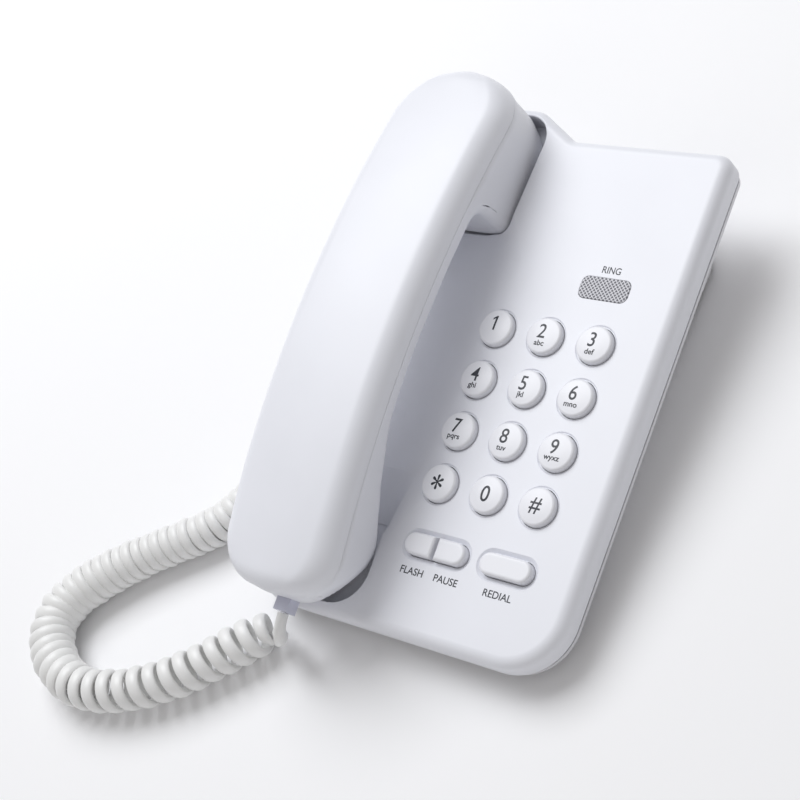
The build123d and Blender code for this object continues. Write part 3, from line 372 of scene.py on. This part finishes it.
def rounded(corners, steps=9):
    """Polyline through (y, z, radius, seam y) corners, each rounded off by an arc of its radius; every
    point comes with the place on the parting line that belongs to it."""
    line, marks = [Vector(corners[0][:2])], [(0, corners[0][3])]
    for before, corner, after in zip(corners, corners[1:], corners[2:]):
        place = Vector(corner[:2])
        into, out = (Vector(before[:2]) - place).normalized(), (Vector(after[:2]) - place).normalized()
        half = into.angle(out) / 2
        reach = corner[2] * cos(half) / sin(half)
        centre = place + (into + out).normalized() * corner[2] / sin(half)
        start, end = place + into * reach - centre, place + out * reach - centre
        turn = atan2(start.x * end.y - start.y * end.x, start.dot(end))
        marks.append((len(line) + steps // 2, corner[3]))
        for step in range(steps + 1):
            angle = turn * step / steps
            line.append(centre + Vector((
                start.x * cos(angle) - start.y * sin(angle), start.x * sin(angle) + start.y * cos(angle)
            )))
    line.append(Vector(corners[-1][:2]))
    marks.append((len(line) - 1, corners[-1][3]))
    run = [0.0]
    for first, second in zip(line, line[1:]):
        run.append(run[-1] + (second - first).length)
    made = []
    for index, point in enumerate(line):
        for (low, low_y), (high, high_y) in zip(marks, marks[1:]):
            if low <= index <= high:
                part = (run[index] - run[low]) / (run[high] - run[low])
                seam_y = low_y + (high_y - low_y) * part
                break
        made.append((point, seam_y))
    fine = [made[0]]
    for (a, a_seam), (b, b_seam) in zip(made, made[1:]):
        parts = max(1, int((b - a).length / 2.5 + 0.999))
        for k in range(1, parts + 1):
            if (a.lerp(b, k / parts) - fine[-1][0]).length > 1e-3:
                fine.append((a.lerp(b, k / parts), a_seam + (b_seam - a_seam) * k / parts))
    return fine


def skin(name, corners, edge, half_width, crown, slot, below):
    """Closed shell skin: a side view's outer line swept across, its rim rounded off to the sides,
    which run to the parting line. below says that the shell lies under that line."""
    profile = rounded(corners)
    count = len(profile)
    rings, sides, columns = 8, 10, 14
    rows = []
    for index, (place, seam_y) in enumerate(profile):
        ahead, behind = profile[min(index + 1, count - 1)][0], profile[max(index - 1, 0)][0]
        along = (ahead - behind).normalized()
        seam = Vector((seam_y, seam_z(seam_y)))
        inward = Vector((-along.y, along.x)) if below else Vector((along.y, -along.x))
        reach = (seam - place).length
        radius = min(edge, 0.8 * reach)
        margin = min(place.x - FRONT_Y, BACK_Y - place.x)
        flat = abs(along.x) + (1 - abs(along.x)) * smooth_step(14.0, 22.0, margin)
        row = []
        for ring in range(rings + 1):
            angle = pi / 2 * ring / rings
            at = place + inward * radius * (1 - cos(angle))
            drawn_in = edge * (1 - sin(angle)) * flat * min(1.0, radius / edge)
            row.append((at, half_width(at.x, at.y) - drawn_in))
        last = row[-1][0]
        short = max(0.0, 1 - 0.15 / max(0.151, (seam - last).length))
        for side in range(1, sides + 1):
            at = last.lerp(seam, short * side / sides)
            row.append((at, half_width(at.x, at.y)))
        row.append((seam, half_width(seam.x, seam.y) - 0.3))
        flat_half = row[0][1]
        across = [
            (place - inward * crown * (1 - (1 - 2 * k / columns) ** 2), flat_half * (1 - 2 * k / columns))
            for k in range(1, columns)
        ]
        line = [(at, x) for at, x in reversed(row)] + across + [(at, -x) for at, x in row]
        rows.append([on_panel(HANDSET_X + x, at.x, at.y) for at, x in line])
    width = len(rows[0])
    vertices = [point for row in rows for point in row]
    faces = []
    for index in range(count - 1):
        for k in range(width):
            a, b = index * width + k, index * width + (k + 1) % width
            faces.append((a, b, b + width, a + width))
    made = piece(name, vertices, faces, slot)
    mesh = bmesh.new()
    mesh.from_mesh(made.data)
    bmesh.ops.remove_doubles(mesh, verts=mesh.verts, dist=2e-6)
    bmesh.ops.holes_fill(mesh, edges=[edge for edge in mesh.edges if edge.is_boundary])
    bmesh.ops.recalc_face_normals(mesh, faces=mesh.faces)
    mesh.to_mesh(made.data)
    mesh.free()
    return made


def handset_half(y, front=FRONT_Y, back=BACK_Y, back_corner=BACK_CORNER):
    """Half the handset's width at y, with round corners towards its ends."""
    half = 25.0
    for depth, corner in ((y - front, FRONT_CORNER), (back - y, back_corner)):
        if depth < corner:
            half -= corner - sqrt(max(0.0, corner**2 - (corner - depth) ** 2))
    return half


def lower_half(y, z):
    """Half the width of the inner shell, which draws in towards its cups."""
    front = FRONT_Y + 8.0 * max(0.0, 7.0 - z) / 14.5
    back = BACK_Y - 7.2 * max(0.0, seam_z(BACK_Y) - z) / (seam_z(BACK_Y) + 8.7)
    half = handset_half(y, front, back, BACK_CORNER - 8.0 * smooth_step(14.0, 0.0, z))
    half -= 0.9 * smooth_step(0.0, 1.0, (12.0 - z) / 12.0) * smooth_step(40.0, 60.0, y)
    start = 7.5 + 10.0 * smooth_step(-58.0, -80.0, y)
    below = start - z
    half -= 0.64 * (below + sqrt(below**2 + 9.0)) / 2 * smooth_step(-30.0, -52.0, y)
    return max(1.0, half)


def upper_half(y, z):
    """Half the width of the outer shell, whose sides lean inwards towards the top."""
    return handset_half(y) - (2.4 + 1.2 * smooth_step(-40.0, -75.0, y)) * max(0.0, z - seam_z(y)) / 8.5


OUTER_RISE = 8.5
ENDS = [(y, seam_z(y), 0.0, y) for y in (FRONT_Y, BACK_Y)]
ARC = [(y, seam_z(y) + OUTER_RISE, 370.0, y) for y in (-62.0, -37.0, -12.0, 13.0, 38.0, 63.0, 88.0)]
outer_shell = skin("handset_outer", [
    ENDS[0], (FRONT_Y, seam_z(-81.0) + OUTER_RISE, 6.5, -76.0), *ARC,
    (BACK_Y, seam_z(117.0) + OUTER_RISE, 8.0, 111.0), ENDS[1],
], 5.6, upper_half, 0.9, "white_plastic", below=False)
inner_shell = skin("handset_inner", [
    ENDS[0], (FRONT_Y, 7.0, 5.0, -77.0), (-74.5, -7.5, 5.0, -68.0), (-56.0, -8.5, 5.0, -57.0),
    (-50.5, 6.5, 12.0, -50.0), (-36.0, 14.5, 30.0, -36.0), (-16.0, 22.2, 40.0, -16.0),
    (8.0, 23.6, 120.0, 8.0),
    (40.0, 22.0, 120.0, 40.0), (65.6, 19.1, 8.0, 62.0), (67.3, -8.7, 5.0, 76.0), (110.8, -8.7, 5.0, 106.0),
    (116.6, 10.0, 20.0, 114.0), ENDS[1],
], 3.6, lower_half, 0.25, "white_plastic", below=True)
for shell, node in ((outer_shell, "handset_outer_shell"), (inner_shell, "handset_inner_shell")):
    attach(shell, "handset")
    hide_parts(node)


# ======== print ===================================================================================
KEY_PITCH, ROW_PITCH = 20.0, 19.5
KEYS_X, KEYS_Y = -0.9, 0.5                # middle of the block of round keys
CROWN_TOP, CROWN_SPHERE = 2.65, 35.7       # top of a round key over the panel, radius of its dome
INK, ink_tree, ink_shader = new_material("ink", (0.018, 0.021, 0.03), 0.45)
ink_noise = noise(ink_tree, 900.0, 2.0)
ink_tree.links.new(
    ramp(ink_tree, ink_noise, 0.3, 0.7, (0.014, 0.016, 0.024), (0.026, 0.03, 0.042)),
    ink_shader.inputs["Base Color"],
)
rough_range(ink_tree, ink_noise, ink_shader, 0.38, 0.55)


ONE = [(0.02, 0.0), (0.17, 0.0), (0.17, 1.0), (0.06, 1.0), (-0.19, 0.82), (-0.19, 0.68), (0.02, 0.81)]


def glyphs(text, height, stroke):
    """Flat mesh of a text in the plain built-in letters; the figure one gets a flag of its own."""
    if text == "1":
        flat = bpy.data.meshes.new("one")
        flat.from_pydata([(x * height, y * height, 0.0) for x, y in ONE], [], [tuple(range(len(ONE)))])
        return flat
    curve = bpy.data.curves.new(text, "FONT")
    curve.body = text
    curve.size = height / 0.73
    curve.align_x, curve.align_y = "CENTER", "CENTER"
    curve.offset = stroke
    curve.resolution_u = 6
    holder = bpy.data.objects.new(text, curve)
    bpy.context.collection.objects.link(holder)
    bpy.context.view_layer.update()
    flat = bpy.data.meshes.new_from_object(holder.evaluated_get(bpy.context.evaluated_depsgraph_get()))
    bpy.data.objects.remove(holder)
    bpy.data.curves.remove(curve)
    return flat


def panel_print(name, marks, body):
    """Flat print on a body: marks are (text, x, y, height of capitals, width ratio, stroke, crown) on the
    panel; crown gives the height of a key's top at a place, and is None on the panel itself."""
    vertices, faces = [], []
    for text, x, y, height, ratio, stroke, crown in marks:
        flat = glyphs(text, height, stroke)
        fine = bmesh.new()
        fine.from_mesh(flat)
        bmesh.ops.triangulate(fine, faces=fine.faces)
        for _ in range(3):
            long_edges = [edge for edge in fine.edges if edge.calc_length() > 0.7]
            bmesh.ops.subdivide_edges(fine, edges=long_edges, cuts=1, use_grid_fill=False)
            bmesh.ops.triangulate(fine, faces=fine.faces)
        fine.to_mesh(flat)
        fine.free()
        start = len(vertices)
        low = min(v.co.y for v in flat.vertices)
        high = max(v.co.y for v in flat.vertices)
        for vertex in flat.vertices:
            px, py = vertex.co.x * ratio, vertex.co.y - (low + high) / 2
            lift = 0.03
            if crown is not None:
                lift += crown(px + x, py + y)
            vertices.append(on_panel(x + px, y + py, lift))
        faces += [tuple(start + k for k in polygon.vertices) for polygon in flat.polygons]
        bpy.data.meshes.remove(flat)
    made = piece(name, vertices, faces, "knob_plastic", smooth=False, material=INK)
    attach(made, body)
    return made


KEYS = [
    ("1", "1", ""), ("2", "2", "abc"), ("3", "3", "def"),
    ("4", "4", "ghi"), ("5", "5", "jkl"), ("6", "6", "mno"),
    ("7", "7", "pqrs"), ("8", "8", "tuv"), ("9", "9", "wyxz"),
    ("star", "*", ""), ("0", "0", ""), ("hash", "#", ""),
]
for index, (key, figure, letters) in enumerate(KEYS):
    key_x, key_y = KEYS_X + KEY_PITCH * (index % 3 - 1), KEYS_Y + ROW_PITCH * (1.5 - index // 3)

    def crown(x, y, key_x=key_x, key_y=key_y):
        away = (x - key_x) ** 2 + (y - key_y) ** 2
        return CROWN_TOP - away / (2 * CROWN_SPHERE)

    marks = [(figure, key_x - 0.6, key_y + 1.4, 5.4, 0.92, 0.05, crown)]
    if index > 8:
        height, stroke = (8.6, 0.12) if figure == "*" else (5.8, 0.06)
        marks = [(figure, key_x, key_y, height, 0.92, stroke, crown)]
    if letters:
        marks.append((letters, key_x - 0.4, key_y - 3.0, 1.95, 1.08, 0.05, crown))
    panel_print(f"print_{key}", marks, f"key_{key}_body")
panel_print("print_panel", [
    ("RING", 15.1, 57.4, 2.6, 0.90, 0.04, None), ("FLASH", -19.9, -60.3, 2.6, 0.98, 0.04, None),
    ("PAUSE", -5.8, -60.3, 2.6, 0.98, 0.04, None), ("REDIAL", 15.2, -60.4, 2.6, 0.98, 0.04, None),
], "base")

# ======== floor and light =========================================================================
floor_material, floor_tree, floor_shader = new_material("floor", (0.93, 0.93, 0.94), 0.7)
floor_mesh = bpy.data.meshes.new("floor")
floor_mesh.from_pydata([(-6, -6, 0), (6, -6, 0), (6, 6, 0), (-6, 6, 0)], [], [(0, 1, 2, 3)])
floor_mesh.materials.append(floor_material)
floor = bpy.data.objects.new("floor", floor_mesh)
bpy.context.collection.objects.link(floor)


def area_light(name, place, target, size, power, colour):
    """Square soft light at place, facing target."""
    data = bpy.data.lights.new(name, "AREA")
    data.size = size
    data.energy = power
    data.color = colour
    lamp = bpy.data.objects.new(name, data)
    bpy.context.collection.objects.link(lamp)
    lamp.location = place
    lamp.rotation_euler = (Vector(target) - Vector(place)).to_track_quat("-Z", "Y").to_euler()


area_light("key_light", (-0.60, 0.50, 1.30), (0, 0, 0), 1.1, 18.5, (0.96, 0.975, 1.0))
area_light("fill_light", (0.3, -1.2, 0.9), (0, 0, 0), 1.0, 1.8, (1.0, 0.98, 0.96))
world = bpy.data.worlds.new("world")
world.use_nodes = True
world.node_tree.nodes["Background"].inputs["Color"].default_value = (1.0, 0.985, 0.98, 1.0)
world.node_tree.nodes["Background"].inputs["Strength"].default_value = 0.36
bpy.context.scene.world = world
bpy.context.scene.view_settings.view_transform = "Standard"
